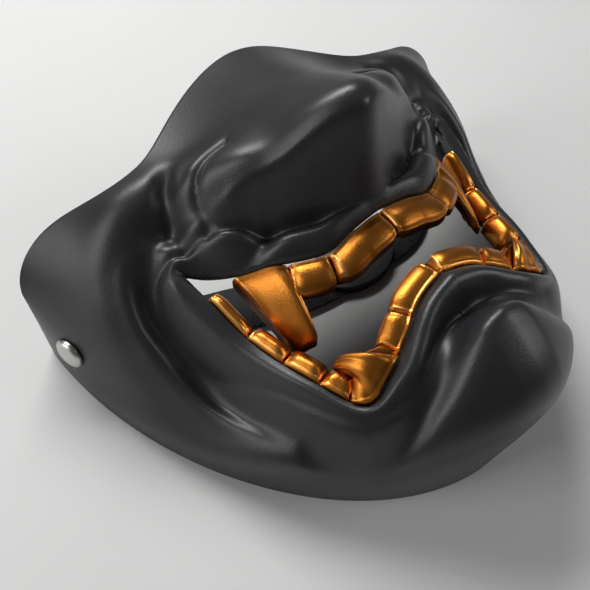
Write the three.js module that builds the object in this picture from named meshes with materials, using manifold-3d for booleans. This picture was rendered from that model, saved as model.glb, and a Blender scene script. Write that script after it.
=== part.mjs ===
// Half face guard in the manner of a samurai mempo, lying on its back rim as it rests by itself.
// Millimetres. +X is the wearer's left, +Y is up the face, +Z is the way the face looks.
import * as THREE from 'three';
import { mergeVertices } from 'three/addons/utils/BufferGeometryUtils.js';
import Module from 'manifold-3d';

// Driving sizes of the shell
const HALF_WIDTH = 88;
const FACE_DEPTH = 66;
const CHIN_REACH = 72;
const BROW_REACH = 64;
const EAR_REACH = 53;
const EYE_NOTCH = 13;
const WALL = 2.6;
const CLEARANCE = 0.3;

// Driving sizes of the nose, the mouth and the chin
const NOSE_RISE = 30;
const NOSE_TIP_Y = 4;
const NOSE_HALF_WIDTH = 24;
const NOSE_SWEEP = 0.5;
const NOSTRIL_X = 33;
const NOSTRIL_RADIUS = 11;
const CHEEK_RISE = 3;
const JOWL_HOLLOW = 11;
const MOUTH_HALF_WIDTH = 51;
const MOUTH_CORNER_Y = 18;
const UPPER_GUM_Y = -6;
const LOWER_GUM_Y = -32;
const LIP_ROLL = 3;
const LIP_REACH = 9;
const CHIN_RISE = 10;
const CHIN_FLAT = 6;
const CHIN_FOOT = 36;

// Driving sizes of the teeth
const TOOTH_WALL = 3;
const UPPER_RECESS = 3;
const LOWER_RECESS = 1.2;
const TOOTH_LENGTH = 9;
const TOOTH_BULGE = 2;

// Driving sizes of the strap, its slider and its rivets
const RIVET_Y = 36;
const RIVET_Z = 19;
const RIVET_HEAD_RADIUS = 5.2;
const RIVET_HEAD_HEIGHT = 2.2;
const RIVET_SHANK_RADIUS = 2;
const STRAP_WIDTH = 18;
const STRAP_THICKNESS = 1.4;
const STRAP_STANDOFF = 1.6;
const SLIDER_LENGTH = 34;
const SLIDER_THICKNESS = 4.4;
const SLIDER_EDGE = 3;
const SLIDER_BASE = 0.9;
const SLIDER_X = 19;
const SLIDER_PLAY = 1;
const STRAP_SAG = 19;

// Cells across half the face and down it
const HALF_COLUMNS = 23;
const ROWS = 30;

const clamp = (value, low, high) => Math.min(high, Math.max(low, value));
const mix = (a, b, share) => a + (b - a) * share;
const smooth = (low, high, value) => {
  const share = clamp((value - low) / (high - low), 0, 1);
  return share * share * (3 - 2 * share);
};
const bell = (offset, spread) => Math.exp(-((offset / spread) ** 2));

// One smooth curve through the rows of a table, read by its first column
function curve(rows, column) {
  return (at) => {
    const last = rows.length - 1;
    let k = 0;
    while (k < last - 1 && at > rows[k + 1][0]) k += 1;
    const slope = (i) => {
      const before = rows[Math.max(0, i - 1)];
      const after = rows[Math.min(last, i + 1)];
      return (after[column] - before[column]) / (after[0] - before[0]);
    };
    const span = rows[k + 1][0] - rows[k][0];
    const share = clamp((at - rows[k][0]) / span, 0, 1);
    const cubic = share * share * (3 - 2 * share);
    const lead = share * (1 - share) * (1 - share) * span * slope(k);
    const trail = share * share * (share - 1) * span * slope(k + 1);
    return mix(rows[k][column], rows[k + 1][column], cubic) + lead + trail;
  };
}

// Sections across the face, from the brow rim at 0 to the jaw rim at 1.
// down: share of the way down the face. crownY: share of BROW_REACH above the lip or CHIN_REACH below it.
// crownZ: share of FACE_DEPTH. endY and endZ: where the section meets the ear rim, in shares of
// EAR_REACH and FACE_DEPTH. roundY and roundZ: how square the section is in plan and in height.
const SECTIONS = [
  // down, crownY, crownZ, endY, endZ, roundY, roundZ
  [0.00, 1.00, 1.00, 0.98, 0.48, 2.0, 2.1],
  [0.16, 0.68, 1.00, 0.99, 0.40, 2.0, 1.9],
  [0.32, 0.33, 1.00, 1.00, 0.31, 2.0, 1.7],
  [0.46, -0.02, 0.99, 1.01, 0.23, 2.0, 1.55],
  [0.58, -0.30, 0.92, 1.02, 0.16, 1.9, 1.45],
  [0.72, -0.66, 0.86, 1.03, 0.08, 1.8, 1.4],
  [0.86, -0.99, 0.58, 1.03, 0.02, 1.8, 1.6],
  [1.00, -0.93, -0.05, 1.02, -0.05, 1.85, 2.0],
];
const section = {
  crownY: curve(SECTIONS, 1),
  crownZ: curve(SECTIONS, 2),
  endY: curve(SECTIONS, 3),
  endZ: curve(SECTIONS, 4),
  roundY: curve(SECTIONS, 5),
  roundZ: curve(SECTIONS, 6),
};

// Gum lines in plan, from the middle of the face to the corner of the mouth
// side: share of MOUTH_HALF_WIDTH. upper and lower: shares of the way from each gum line at
// the middle of the face to the corner of the mouth.
const GUM_LINES = [
  // side, upper, lower
  [0.00, 0.00, 0.02],
  [0.20, -0.02, -0.03],
  [0.36, -0.04, -0.12],
  [0.54, 0.15, -0.20],
  [0.70, 0.42, -0.20],
  [0.82, 0.64, 0.10],
  [0.92, 0.84, 0.50],
  [1.00, 1.00, 1.00],
];
const upperShare = curve(GUM_LINES, 1);
const lowerShare = curve(GUM_LINES, 2);
const upperGum = (x) => mix(UPPER_GUM_Y, MOUTH_CORNER_Y, upperShare(Math.abs(x) / MOUTH_HALF_WIDTH));
const lowerGum = (x) => mix(LOWER_GUM_Y, MOUTH_CORNER_Y, lowerShare(Math.abs(x) / MOUTH_HALF_WIDTH));

// The mouth's outline in plan, as points round the upper gum line and back along the lower one
const MOUTH_STEPS = 20;
function mouthOutline() {
  const points = [];
  for (let k = -MOUTH_STEPS; k < MOUTH_STEPS; k += 1) {
    const x = MOUTH_HALF_WIDTH * Math.sin((k / MOUTH_STEPS) * Math.PI / 2);
    points.push(new THREE.Vector2(x, upperGum(x)));
  }
  for (let k = MOUTH_STEPS; k > -MOUTH_STEPS; k -= 1) {
    const x = MOUTH_HALF_WIDTH * Math.sin((k / MOUTH_STEPS) * Math.PI / 2);
    points.push(new THREE.Vector2(x, lowerGum(x)));
  }
  return points;
}
const MOUTH = mouthOutline();

// Distance from the mouth's outline in plan, negative inside it
function mouthDistance(x, y) {
  let best = Infinity;
  let inside = false;
  for (let k = 0; k < MOUTH.length; k += 1) {
    const a = MOUTH[k];
    const b = MOUTH[(k + 1) % MOUTH.length];
    const dx = b.x - a.x;
    const dy = b.y - a.y;
    const share = clamp(((x - a.x) * dx + (y - a.y) * dy) / (dx * dx + dy * dy), 0, 1);
    best = Math.min(best, Math.hypot(x - a.x - share * dx, y - a.y - share * dy));
    if ((a.y > y) !== (b.y > y) && x < a.x + (dx * (y - a.y)) / dy) inside = !inside;
  }
  return inside ? -best : best;
}

// The plain face without its features, at a share across (-1 to 1) and a share down
function plainFace(across, down) {
  const side = Math.sin(Math.abs(across) * Math.PI / 2);
  const crownShare = section.crownY(down);
  const crownY = crownShare * (crownShare > 0 ? BROW_REACH : CHIN_REACH);
  const flatY = (1 - side ** section.roundY(down)) ** (1 / section.roundY(down));
  const flatZ = (1 - side ** section.roundZ(down)) ** (1 / section.roundZ(down));
  const notch = EYE_NOTCH * bell(side - 0.55, 0.25) * smooth(0.35, 0, down);
  return new THREE.Vector3(
    Math.sign(across) * side * HALF_WIDTH,
    mix(section.endY(down) * EAR_REACH, crownY, flatY) - notch,
    mix(section.endZ(down), section.crownZ(down), flatZ) * FACE_DEPTH,
  );
}

// Height of the nose over the plain face. along: from the tip to the brow rim, swept back to the sides.
// rise and width: shares of NOSE_RISE and NOSE_HALF_WIDTH.
const NOSE_RIDGE = [
  // along, rise, width
  [-0.06, 0.84, 1.25],
  [0.00, 0.96, 1.22],
  [0.08, 1.00, 1.18],
  [0.20, 0.90, 1.12],
  [0.50, 0.62, 0.98],
  [1.00, 0.32, 0.85],
  [1.30, 0.30, 0.85],
];
const ridgeRise = curve(NOSE_RIDGE, 1);
const ridgeWidth = curve(NOSE_RIDGE, 2);

function noseRise(x, y) {
  const away = Math.abs(x);
  const swept = y - NOSE_TIP_Y - NOSE_SWEEP * away;
  const along = swept / (BROW_REACH - NOSE_TIP_Y);
  const round = away / (ridgeWidth(along) * NOSE_HALF_WIDTH);
  const underside = smooth(-NOSE_RISE * 0.3, 0, swept);
  const ridge = NOSE_RISE * ridgeRise(along) * Math.exp(-(round ** 1.9)) * underside;
  const flareX = (away - NOSTRIL_X) / NOSTRIL_RADIUS;
  const flareY = (y - NOSE_TIP_Y - NOSE_SWEEP * NOSTRIL_X - NOSTRIL_RADIUS * 0.3) / (NOSTRIL_RADIUS * 1.2);
  const reach = Math.hypot(flareX, flareY);
  const flare = NOSTRIL_RADIUS * 0.55 * Math.exp(-(reach ** 3));
  const outside = smooth(-0.5, 0.4, flareX - flareY * 0.5);
  const crease = -NOSTRIL_RADIUS * 0.34 * bell(reach - 1.3, 0.28) * outside;
  return ridge + flare + crease;
}

function faceFeatures(x, y) {
  const away = Math.abs(x);
  const gap = mouthDistance(x, y);
  const above = smooth(UPPER_GUM_Y - LIP_REACH * 0.7, UPPER_GUM_Y + LIP_REACH * 1.5, y);
  const wide = smooth(NOSTRIL_X * 0.5, NOSTRIL_X, away);
  const roll = LIP_ROLL * bell(gap - LIP_REACH * 0.45, LIP_REACH * 0.42);
  const depth = mix(1.5, 1.1 * wide, above);
  const groove = -LIP_ROLL * depth * bell(gap - LIP_REACH * 1.3, LIP_REACH * 0.42);
  const fold = LIP_ROLL * bell(gap - LIP_REACH * 2.5, LIP_REACH * 0.9) * smooth(0.3, 0.55, away / HALF_WIDTH);
  const cheekX = (away - HALF_WIDTH * 0.72) / (HALF_WIDTH * 0.2);
  const cheekY = (y - EAR_REACH * 0.68) / (EAR_REACH * 0.3);
  const cheek = CHEEK_RISE * Math.exp(-(cheekX ** 2) - cheekY ** 2);
  const jowlX = (away - HALF_WIDTH * 0.74) / (HALF_WIDTH * 0.2);
  const jowlY = (y + EAR_REACH * 0.2) / (EAR_REACH * 0.6);
  const jowl = -JOWL_HOLLOW * Math.exp(-(jowlX ** 2) - jowlY ** 2);
  const chinDown = smooth(LOWER_GUM_Y - LIP_REACH * 0.9, LOWER_GUM_Y - LIP_REACH * 2.2, y);
  const chin = CHIN_RISE * smooth(CHIN_FOOT, CHIN_FLAT, away) * chinDown;
  return noseRise(x, y) + roll + groove + fold + cheek + jowl + chin;
}

function facePoint(across, down) {
  const point = plainFace(across, down);
  const inland = smooth(1.02, 0.86, Math.abs(across)) * smooth(1, 0.9, down);
  point.z += faceFeatures(point.x, point.y) * inland;
  return point;
}

// A closed body from a grid of outer points and the grid of inner points under it
function wallBody(outer, inner) {
  const rows = outer.length;
  const columns = outer[0].length;
  const positions = [];
  const index = [];
  for (const grid of [outer, inner]) {
    for (const row of grid) {
      for (const point of row) positions.push(point.x, point.y, point.z);
    }
  }
  const front = (r, c) => r * columns + c;
  const back = (r, c) => (rows + r) * columns + c;
  for (let r = 0; r < rows - 1; r += 1) {
    for (let c = 0; c < columns - 1; c += 1) {
      index.push(front(r, c), front(r + 1, c), front(r + 1, c + 1));
      index.push(front(r, c), front(r + 1, c + 1), front(r, c + 1));
      index.push(back(r, c), back(r + 1, c + 1), back(r + 1, c));
      index.push(back(r, c), back(r, c + 1), back(r + 1, c + 1));
    }
  }
  const edge = [];
  for (let c = 0; c < columns - 1; c += 1) edge.push([0, c]);
  for (let r = 0; r < rows - 1; r += 1) edge.push([r, columns - 1]);
  for (let c = columns - 1; c > 0; c -= 1) edge.push([rows - 1, c]);
  for (let r = rows - 1; r > 0; r -= 1) edge.push([r, 0]);
  edge.forEach(([r, c], k) => {
    const [nextR, nextC] = edge[(k + 1) % edge.length];
    index.push(front(r, c), front(nextR, nextC), back(nextR, nextC));
    index.push(front(r, c), back(nextR, nextC), back(r, c));
  });
  const geometry = new THREE.BufferGeometry();
  geometry.setAttribute('position', new THREE.Float32BufferAttribute(positions, 3));
  geometry.setIndex(index);
  return geometry;
}

// Outward directions of a grid of points
function gridNormals(grid) {
  const rows = grid.length;
  const columns = grid[0].length;
  return grid.map((row, r) => row.map((_, c) => {
    const across = grid[r][Math.min(columns - 1, c + 1)].clone().sub(grid[r][Math.max(0, c - 1)]);
    const down = grid[Math.min(rows - 1, r + 1)][c].clone().sub(grid[Math.max(0, r - 1)][c]);
    return down.cross(across).normalize();
  }));
}

function offsetGrid(grid, distance) {
  const normals = gridNormals(grid);
  return grid.map((row, r) => row.map((point, c) => point.clone().addScaledVector(normals[r][c], -distance)));
}

const wasm = await Module();
wasm.setup();

function toSolid(geometry) {
  const bare = geometry.clone();
  bare.deleteAttribute('normal');
  bare.deleteAttribute('uv');
  const merged = mergeVertices(bare, 1e-4);
  return new wasm.Manifold(new wasm.Mesh({
    numProp: 3,
    vertProperties: new Float32Array(merged.attributes.position.array),
    triVerts: new Uint32Array(merged.index.array),
  }));
}

function toGeometry(solid) {
  const mesh = solid.getMesh();
  const geometry = new THREE.BufferGeometry();
  geometry.setAttribute('position', new THREE.BufferAttribute(new Float32Array(mesh.vertProperties), 3));
  geometry.setIndex(new THREE.BufferAttribute(new Uint32Array(mesh.triVerts), 1));
  return geometry;
}

const EVEN_SHARE = 0.74;

function faceGrid() {
  const grid = [];
  for (let r = 0; r <= ROWS; r += 1) {
    const row = [];
    for (let c = -HALF_COLUMNS; c <= HALF_COLUMNS; c += 1) {
      const even = c / HALF_COLUMNS;
      row.push(facePoint(even * (EVEN_SHARE + (1 - EVEN_SHARE) * even * even), r / ROWS));
    }
    grid.push(row);
  }
  return grid;
}

// The place between low and high where a falling function reaches zero
function fallsToZero(low, high, value) {
  for (let k = 0; k < 40; k += 1) {
    const middle = (low + high) / 2;
    if (value(middle) > 0) low = middle;
    else high = middle;
  }
  return (low + high) / 2;
}

// The outer surface at a place in plan
function faceAt(x, y) {
  const across = (Math.asin(clamp(x / HALF_WIDTH, -1, 1)) * 2) / Math.PI;
  return facePoint(across, fallsToZero(0, 1, (down) => facePoint(across, down).y - y));
}

function outwardAt(across, down) {
  const step = 0.004;
  const sideways = facePoint(across + step, down).sub(facePoint(across - step, down));
  const downward = facePoint(across, down + step).sub(facePoint(across, down - step));
  return downward.cross(sideways).normalize();
}

// The seat of a rivet on the side wall, by its place up the face and its height over the rim
function rivetSeat(side) {
  const widest = (down) => fallsToZero(0.6, 1, (across) => facePoint(across, down).z - RIVET_Z);
  const down = fallsToZero(0.1, 0.9, (share) => facePoint(widest(share), share).y - RIVET_Y);
  const across = side * widest(down);
  return { point: facePoint(across, down), out: outwardAt(across, down) };
}

// A turned piece whose axis runs from a seat along its outward direction
function turnedAt(profile, sides, point, out) {
  const points = profile.map(([radius, height]) => new THREE.Vector2(radius, height));
  const geometry = new THREE.LatheGeometry(points, sides);
  geometry.applyQuaternion(new THREE.Quaternion().setFromUnitVectors(new THREE.Vector3(0, 1, 0), out));
  geometry.translate(point.x, point.y, point.z);
  return geometry;
}

const RIVET_SIDES = 16;
const SIDES = [-1, 1];
const SEATS = SIDES.map(rivetSeat);

// A drill for the rivet's hole, long enough for any wall
function rivetDrill({ point, out }) {
  const radius = RIVET_SHANK_RADIUS + CLEARANCE;
  const reach = WALL * 6;
  return toSolid(turnedAt([[0, -reach], [radius, -reach], [radius, reach], [0, reach]], RIVET_SIDES, point, out));
}

// The mouth's outline as an upright prism, drawn in at both corners and shifted up the face
function mouthPrism(drawnIn, shift) {
  const narrow = 1 - drawnIn / MOUTH_HALF_WIDTH;
  const outline = MOUTH.map((at) => new THREE.Vector2(at.x * narrow, at.y + shift));
  const prism = new THREE.ExtrudeGeometry(new THREE.Shape(outline), { depth: FACE_DEPTH * 3, bevelEnabled: false });
  prism.translate(0, 0, -FACE_DEPTH);
  return toSolid(prism);
}

function faceShell() {
  const grid = faceGrid();
  let solid = toSolid(wallBody(grid, offsetGrid(grid, WALL)));
  solid = solid.subtract(mouthPrism(0, 0));
  const floor = new THREE.BoxGeometry(HALF_WIDTH * 4, HALF_WIDTH * 4, FACE_DEPTH);
  floor.translate(0, 0, -FACE_DEPTH / 2);
  solid = solid.subtract(toSolid(floor));
  for (const seat of SEATS) solid = solid.subtract(rivetDrill(seat));
  return toGeometry(solid);
}

// Teeth along half a row, from the middle of the face outwards
// start and end: shares of the half row. reach: length in TOOTH_LENGTH. bulge: in TOOTH_BULGE.
// point: 0 for a square tooth, 1 for a fang. fall: how steeply the tooth drops back into the mouth.
// lean: 0 square to the gum line, 1 straight up or down the face.
const UPPER_TEETH = [
  // start, end, reach, bulge, point, fall, lean
  [0.00, 0.42, 1.00, 1.0, 0.0, 0.1, 0],
  [0.42, 0.66, 0.90, 0.8, 0.0, 0.3, 0.3],
  [0.66, 1.00, 2.40, 1.6, 0.6, 0.5, 1],
];
const LOWER_TEETH = [
  // start, end, reach, bulge, point, fall, lean
  [0.00, 0.16, 0.80, 0.8, 0.0, 0.0, 0],
  [0.16, 0.25, 0.80, 0.8, 0.0, 0.0, 0],
  [0.25, 0.43, 1.70, 2.4, 0.5, 0.1, 0],
  [0.43, 0.54, 0.95, 1.6, 0.2, 0.1, 0],
  [0.54, 0.69, 0.75, 1.6, 0.0, 0.1, 0],
  [0.69, 0.84, 0.65, 1.6, 0.0, 0.1, 0],
  [0.84, 1.00, 0.45, 1.4, 0.0, 0.1, 0],
];
const UPPER_END = 0.80;
const LOWER_END = 0.97;
const UPPER_STEPS = 22;
const LOWER_STEPS = 38;
const TOOTH_ROWS = 4;

// Half a gum line in plan as even steps, from the middle of the face to a share of the mouth's width
function gumLine(gum, end, steps) {
  const fine = [];
  const count = steps * 8;
  for (let k = 0; k <= count; k += 1) {
    const x = MOUTH_HALF_WIDTH * end * Math.sin((k / count) * Math.PI / 2);
    fine.push(new THREE.Vector2(x, gum(x)));
  }
  return new THREE.SplineCurve(fine).getSpacedPoints(steps);
}

function toothAt(teeth, share) {
  const tooth = teeth.find((row) => share <= row[1]) || teeth[teeth.length - 1];
  const [start, end, reach, bulge, point, fall, lean] = tooth;
  const across = ((share - start) / (end - start)) * 2 - 1;
  return {
    middle: (start + end) / 2,
    reach: TOOTH_LENGTH * reach * (1 - across ** 6 * 0.25),
    bulge: TOOTH_BULGE * bulge * (1 - across ** 4),
    point,
    fall,
    lean,
  };
}

// The way from a gum line into the mouth, at a step along half of it
function intoMouth(line, step, inward, lean) {
  const along = line[Math.min(line.length - 1, step + 1)].clone().sub(line[Math.max(0, step - 1)]).normalize();
  const straight = new THREE.Vector2(0, inward);
  const square = new THREE.Vector2(-along.y * inward, along.x * inward);
  return step === 0 ? straight : square.lerp(straight, lean).normalize();
}

// A row of teeth with its gum: one band that hangs off a gum line into the mouth
function toothRow(teeth, gum, end, steps, recess, inward) {
  const line = gumLine(gum, end, steps);
  const columns = [];
  for (let k = -steps; k <= steps; k += 1) {
    const step = Math.abs(k);
    const side = k < 0 ? -1 : 1;
    const tooth = toothAt(teeth, step / steps);
    const into = intoMouth(line, step, inward, tooth.lean);
    const start = line[step].clone().addScaledVector(into, CLEARANCE);
    const plain = start.clone().addScaledVector(into, tooth.reach);
    const middle = Math.round(tooth.middle * steps);
    const tip = line[middle].clone().addScaledVector(intoMouth(line, middle, inward, tooth.lean), tooth.reach);
    const target = plain.lerp(tip, tooth.point);
    const seat = faceAt(line[step].x, line[step].y).z - recess;
    const column = [];
    for (let r = 0; r <= TOOTH_ROWS; r += 1) {
      const out = r / TOOTH_ROWS;
      const swell = tooth.bulge * Math.sin(Math.PI * clamp(out * 0.85 + 0.1, 0, 1));
      const at = start.clone().lerp(target, out);
      column.push(new THREE.Vector3(side * at.x, at.y, seat + swell - tooth.fall * tooth.reach * out));
    }
    columns.push(column);
  }
  const grid = columns[0].map((_, r) => columns.map((column) => column[r]));
  if (inward > 0) grid.reverse();
  const under = grid.map((row) => row.map((point) => point.clone().setZ(point.z - TOOTH_WALL)));
  return toSolid(wallBody(grid, under)).intersect(mouthPrism(CLEARANCE, inward * CLEARANCE));
}

// A body cut back from its neighbour by the clearance on every side, without loose slivers
function clearOf(body, neighbour) {
  let cut = body.subtract(neighbour);
  for (const axis of [0, 1, 2]) {
    for (const side of SIDES) {
      const shift = [0, 0, 0];
      shift[axis] = side * CLEARANCE;
      cut = cut.subtract(neighbour.translate(shift));
    }
  }
  return cut.decompose().sort((a, b) => b.volume() - a.volume())[0];
}

// Rivet: domed head outside, shank through shell and strap, flat cap inside
const RIVET_CAP = 1;
const RIVET_RIM = 0.5;
function rivet({ point, out }) {
  const inside = -(WALL + STRAP_STANDOFF + STRAP_THICKNESS + CLEARANCE);
  const capRadius = RIVET_HEAD_RADIUS * 0.8;
  const profile = [[0, inside - RIVET_CAP], [capRadius, inside - RIVET_CAP], [capRadius, inside]];
  profile.push([RIVET_SHANK_RADIUS, inside], [RIVET_SHANK_RADIUS, CLEARANCE], [RIVET_HEAD_RADIUS, CLEARANCE]);
  for (let k = 0; k < 4; k += 1) {
    const turn = (k / 4) * Math.PI / 2;
    const height = CLEARANCE + mix(RIVET_RIM, RIVET_HEAD_HEIGHT, Math.sin(turn));
    profile.push([RIVET_HEAD_RADIUS * Math.cos(turn) ** 0.7, height]);
  }
  profile.push([0, CLEARANCE + RIVET_HEAD_HEIGHT]);
  return turnedAt(profile, RIVET_SIDES, point, out);
}

// How the strap lies on the floor between its two bends, bowed towards the chin
// share: of the way from the right bend to the left one. sag: share of STRAP_SAG.
const STRAP_LAY = [
  // share, sag
  [0.07, 0.02],
  [0.16, 0.12],
  [0.28, 0.42],
  [0.40, 0.80],
  [0.51, 1.00],
  [0.64, 1.00],
  [0.77, 1.00],
  [0.86, 0.66],
  [0.94, 0.15],
];
const STRAP_TOP = 5.5;
const STRAP_TAB = 7;
const STRAP_STEPS = 56;
const STRAP_LIE = SLIDER_BASE + CLEARANCE + STRAP_THICKNESS / 2;

// The strap's way down one side wall behind its rivet, to its bend just over the floor
function strapEnd({ point, out }, side) {
  const inset = WALL + STRAP_STANDOFF + STRAP_THICKNESS / 2;
  const slope = new THREE.Vector3(0, 0, -1).addScaledVector(out, out.z).normalize();
  const seat = point.clone().addScaledVector(out, -inset);
  const tab = [-STRAP_TOP, 0, STRAP_TAB].map((run) => seat.clone().addScaledVector(slope, run));
  const bend = new THREE.Vector3(tab[2].x - side * STRAP_TAB, tab[2].y, STRAP_LIE + STRAP_TAB * 0.5);
  return [...tab, bend];
}
const STRAP_ENDS = SEATS.map((seat, k) => strapEnd(seat, SIDES[k]));

// The strap's middle line from rivet to rivet
function strapLine() {
  const [right, left] = STRAP_ENDS;
  const flat = STRAP_LAY.map(([share, sag]) => {
    const at = right[3].clone().lerp(left[3], share);
    return at.setY(at.y - STRAP_SAG * sag).setZ(STRAP_LIE);
  });
  return new THREE.CatmullRomCurve3([...right, ...flat, ...[...left].reverse()], false, 'centripetal');
}

// A band of a given width and thickness along the strap's line, flat against each side wall
function band(line, width, thickness, steps) {
  const outer = [[], []];
  const inner = [[], []];
  for (let k = 0; k <= steps; k += 1) {
    const share = k / steps;
    const at = line.getPointAt(share);
    const along = line.getTangentAt(share);
    const end = SEATS[share < 0.5 ? 0 : 1].out;
    const against = smooth(0.11, 0.05, Math.min(share, 1 - share));
    const up = new THREE.Vector3(0, 0, 1).lerp(end.clone().negate(), against);
    up.addScaledVector(along, -up.dot(along)).normalize();
    const aside = up.clone().cross(along);
    [1, -1].forEach((edge, row) => {
      const rim = at.clone().addScaledVector(aside, (edge * width) / 2);
      outer[row].push(rim.clone().addScaledVector(up, thickness / 2));
      inner[row].push(rim.clone().addScaledVector(up, -thickness / 2));
    });
  }
  return wallBody(outer, inner);
}

function headStrap() {
  let solid = toSolid(band(strapLine(), STRAP_WIDTH, STRAP_THICKNESS, STRAP_STEPS));
  for (const seat of SEATS) solid = solid.subtract(rivetDrill(seat));
  return toGeometry(solid);
}

// Oval slider that the strap runs through
function strapSlider() {
  const length = SLIDER_LENGTH / 2;
  const width = STRAP_WIDTH / 2 + SLIDER_EDGE;
  const middleY = STRAP_ENDS[0][3].y - STRAP_SAG;
  const oval = new THREE.Shape();
  oval.absellipse(0, 0, length, width, 0, Math.PI * 2, false, 0);
  const body = new THREE.ExtrudeGeometry(oval, { depth: SLIDER_THICKNESS, bevelEnabled: false, curveSegments: 16 });
  body.translate(SLIDER_X, middleY, 0);
  const slotSize = [SLIDER_LENGTH * 2, STRAP_WIDTH + SLIDER_PLAY * 2, STRAP_THICKNESS + CLEARANCE * 2];
  const slot = new THREE.BoxGeometry(...slotSize);
  slot.translate(SLIDER_X, middleY, STRAP_LIE);
  return toGeometry(toSolid(body).subtract(toSolid(slot)));
}

const MATT_BLACK = 0x1b1c20;
const GOLD = 0xc87a1e;
const NICKEL = 0xb9b7ae;
const ELASTIC = 0x17181b;

function piece(name, geometry, colour, roughness, metalness) {
  const material = new THREE.MeshStandardMaterial({ color: colour, roughness, metalness });
  const mesh = new THREE.Mesh(geometry, material);
  mesh.name = name;
  return mesh;
}

const lowerTeeth = toothRow(LOWER_TEETH, lowerGum, LOWER_END, LOWER_STEPS, LOWER_RECESS, 1);
const upperTeeth = clearOf(toothRow(UPPER_TEETH, upperGum, UPPER_END, UPPER_STEPS, UPPER_RECESS, -1), lowerTeeth);

const mask = new THREE.Group();
mask.add(piece('face_shell', faceShell(), MATT_BLACK, 0.5, 0));
mask.add(piece('upper_teeth', toGeometry(upperTeeth), GOLD, 0.35, 0.8));
mask.add(piece('lower_teeth', toGeometry(lowerTeeth), GOLD, 0.35, 0.8));
mask.add(piece('rivet_right', rivet(SEATS[0]), NICKEL, 0.35, 1));
mask.add(piece('rivet_left', rivet(SEATS[1]), NICKEL, 0.35, 1));
mask.add(piece('head_strap', headStrap(), ELASTIC, 0.9, 0));
mask.add(piece('strap_slider', strapSlider(), MATT_BLACK, 0.5, 0));

// The origin is the middle of the guard's box, at the floor
const box = new THREE.Box3().setFromObject(mask);
const middle = box.getCenter(new THREE.Vector3());
mask.position.set(-middle.x, -middle.y, -box.min.z);

export default mask;
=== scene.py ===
# %% [markdown]
# # A half face guard with copper-gold teeth
# The real guard is one moulded shell of satin black plastic, shaped as a snarling demon from the nose
# bridge to the chin. Two rows of painted teeth sit in its open mouth, and an elastic strap crosses the
# hollow behind it. Everything here is made in the frame of the engineering model, so no piece is fitted.

# %% Load the frame
import bmesh
import bpy
import math
import numpy as np
from mathutils import Matrix, Vector


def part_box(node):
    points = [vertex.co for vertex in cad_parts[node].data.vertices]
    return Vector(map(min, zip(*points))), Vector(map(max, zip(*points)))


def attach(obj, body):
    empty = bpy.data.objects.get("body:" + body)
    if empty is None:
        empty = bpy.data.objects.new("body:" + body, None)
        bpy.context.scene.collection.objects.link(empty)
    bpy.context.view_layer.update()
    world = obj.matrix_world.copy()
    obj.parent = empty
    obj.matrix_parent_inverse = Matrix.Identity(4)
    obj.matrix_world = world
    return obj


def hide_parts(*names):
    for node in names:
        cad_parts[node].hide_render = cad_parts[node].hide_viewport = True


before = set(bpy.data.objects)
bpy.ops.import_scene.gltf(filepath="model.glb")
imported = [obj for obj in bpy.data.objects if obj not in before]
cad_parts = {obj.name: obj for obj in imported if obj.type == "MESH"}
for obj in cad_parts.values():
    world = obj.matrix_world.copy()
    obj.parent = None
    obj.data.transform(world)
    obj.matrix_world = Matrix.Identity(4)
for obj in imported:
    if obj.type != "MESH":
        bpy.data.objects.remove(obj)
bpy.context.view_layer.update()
print("nodes:", ", ".join(sorted(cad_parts)))

# %% [markdown]
# ## The sizes of the face
# The moulded face follows a few sizes in millimetres: how wide, deep and long it is, how far the nose
# stands out and where the mouth lies. They are the engineering model's own, so the two shapes stay near
# each other. Most of the shell lies within a millimetre of the solid, but parts of the nose, the ear
# corners and the crease under the lower lip differ by a few millimetres. The shapes could be sculpted
# by hand, but formulas over the face's plan can be read and changed.

# %% Sizes of the shell, in millimetres
MM = 0.001
HALF_WIDTH = 88
FACE_DEPTH = 66
CHIN_REACH = 72
BROW_REACH = 64
EAR_REACH = 53
EYE_NOTCH = 13
NOTCH_AT = 0.55
NOTCH_SPREAD = 0.25
NOTCH_DOWN = 0.35
WALL = 2.6
NOSE_RISE = 30
NOSE_TIP_Y = 4
NOSE_HALF_WIDTH = 24
NOSE_SWEEP = 0.5
NOSE_CREST = 4
NOSTRIL_X = 33
NOSTRIL_RADIUS = 11
CHEEK_RISE = 3
JOWL_HOLLOW = 11
MOUTH_HALF_WIDTH = 51
MOUTH_CORNER_Y = 18
UPPER_GUM_Y = -6
LOWER_GUM_Y = -32
LIP_ROLL = 3
LIP_REACH = 9
CHIN_RISE = 10
CHIN_FLAT = 6
CHIN_FOOT = 36

# %% Helpers for smooth steps, bells and curves through tables


def mix(a, b, share):
    return a + (b - a) * share


def smooth(low, high, value):
    share = np.clip((value - low) / (high - low), 0, 1)
    return share * share * (3 - 2 * share)


def bell(offset, spread):
    return np.exp(-((offset / spread) ** 2))


def curve(rows, column):
    """One smooth curve through the rows of a table, read by its first column."""
    table = np.array(rows, dtype=float)
    place, value = table[:, 0], table[:, column]
    slope = np.gradient(value)
    slope[1:-1] = (value[2:] - value[:-2]) / (place[2:] - place[:-2])
    slope[0] = (value[1] - value[0]) / (place[1] - place[0])
    slope[-1] = (value[-1] - value[-2]) / (place[-1] - place[-2])

    def at(where):
        k = np.clip(np.searchsorted(place, where, side="right") - 1, 0, len(place) - 2)
        span = place[k + 1] - place[k]
        share = np.clip((where - place[k]) / span, 0, 1)
        ease = share * share * (3 - 2 * share)
        lead = share * (1 - share) ** 2 * span * slope[k]
        trail = share * share * (share - 1) * span * slope[k + 1]
        return mix(value[k], value[k + 1], ease) + lead + trail

    return at


# %% [markdown]
# ## The plain face
# Sections across the face run from the brow rim to the jaw rim. Each row of the table says where a
# section crosses the middle of the face, where it meets the ear rim and how square it is.

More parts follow.
